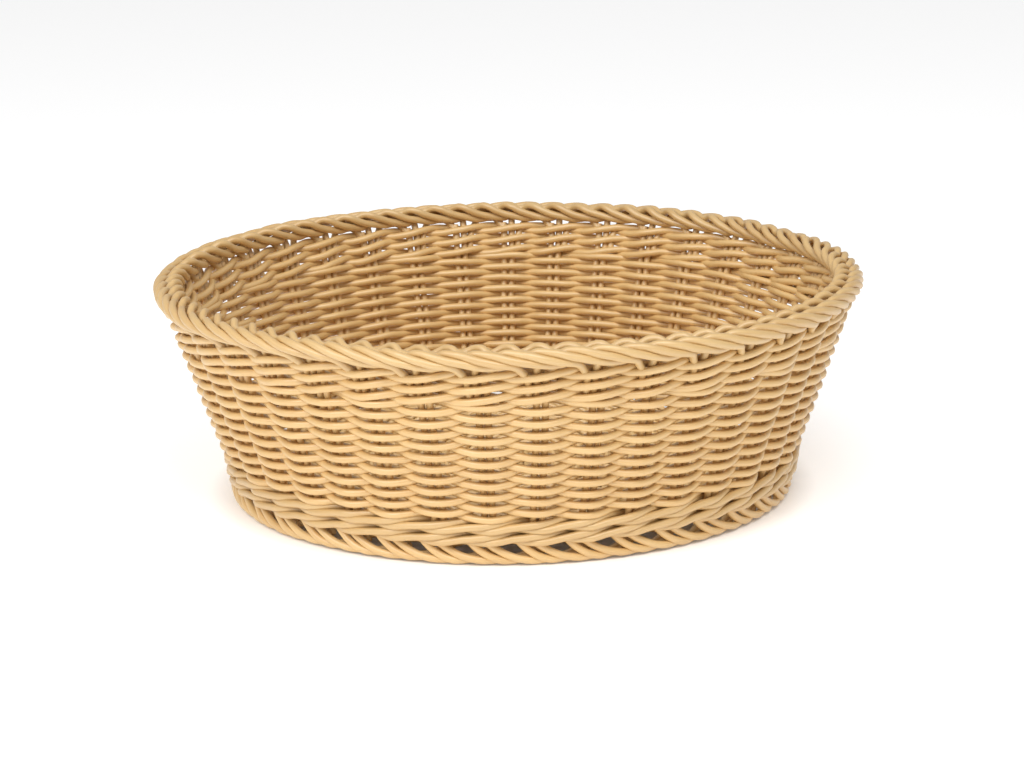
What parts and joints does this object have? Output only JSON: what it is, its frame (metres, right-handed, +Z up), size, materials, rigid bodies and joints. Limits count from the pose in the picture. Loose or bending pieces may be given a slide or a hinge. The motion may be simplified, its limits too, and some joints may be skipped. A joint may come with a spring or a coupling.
{
  "type": "bread basket",
  "caption": "Round woven bread basket with a flared open-work wall of upright stakes and weavers, a thick rope rim, a braided foot border and a flat base.",
  "frame": {"origin": "centre of the underside of the foot border, on the surface the basket stands on", "axes": "+Z up along the basket's axis; -Y is the front as pictured; +X to the right seen from the front"},
  "size_m": [0.3993, 0.3996, 0.126],
  "materials": {
    "wall_strand": "honey-coloured extruded polymer strand, satin, with fine lengthwise grain",
    "border_strand": "honey-coloured extruded polymer strand, satin, laid in pairs as a rope",
    "base_strand": "honey-coloured extruded polymer strand, satin, woven flat"
  },
  "bodies": {
    "root": {"stake_01": "wall_strand", "stake_02": "wall_strand", "stake_03": "wall_strand", "stake_04": "wall_strand", "stake_05": "wall_strand", "stake_06": "wall_strand", "stake_07": "wall_strand", "stake_08": "wall_strand", "stake_09": "wall_strand", "stake_10": "wall_strand", "stake_11": "wall_strand", "stake_12": "wall_strand", "stake_13": "wall_strand", "stake_14": "wall_strand", "stake_15": "wall_strand", "stake_16": "wall_strand", "stake_17": "wall_strand", "stake_18": "wall_strand", "stake_19": "wall_strand", "stake_20": "wall_strand", "stake_21": "wall_strand", "stake_22": "wall_strand", "stake_23": "wall_strand", "stake_24": "wall_strand", "stake_25": "wall_strand", "stake_26": "wall_strand", "stake_27": "wall_strand", "stake_28": "wall_strand", "stake_29": "wall_strand", "stake_30": "wall_strand", "stake_31": "wall_strand", "stake_32": "wall_strand", "stake_33": "wall_strand", "stake_34": "wall_strand", "stake_35": "wall_strand", "stake_36": "wall_strand", "stake_37": "wall_strand", "stake_38": "wall_strand", "stake_39": "wall_strand", "randing_weaver_1": "wall_strand", "randing_weaver_2": "wall_strand", "randing_weaver_3": "wall_strand", "randing_weaver_4": "wall_strand", "randing_weaver_5": "wall_strand", "randing_weaver_6": "wall_strand", "randing_weaver_7": "wall_strand", "lower_wale_1_strand_1": "wall_strand", "lower_wale_1_strand_2": "wall_strand", "lower_wale_1_strand_3": "wall_strand", "lower_wale_2_strand_1": "wall_strand", "lower_wale_2_strand_2": "wall_strand", "lower_wale_2_strand_3": "wall_strand", "pairing_row_1": "wall_strand", "pairing_row_2": "wall_strand", "pairing_row_3": "wall_strand", "rim_border": "border_strand", "foot_border": "border_strand", "base_panel": "base_strand"}
  },
  "joints": []
}
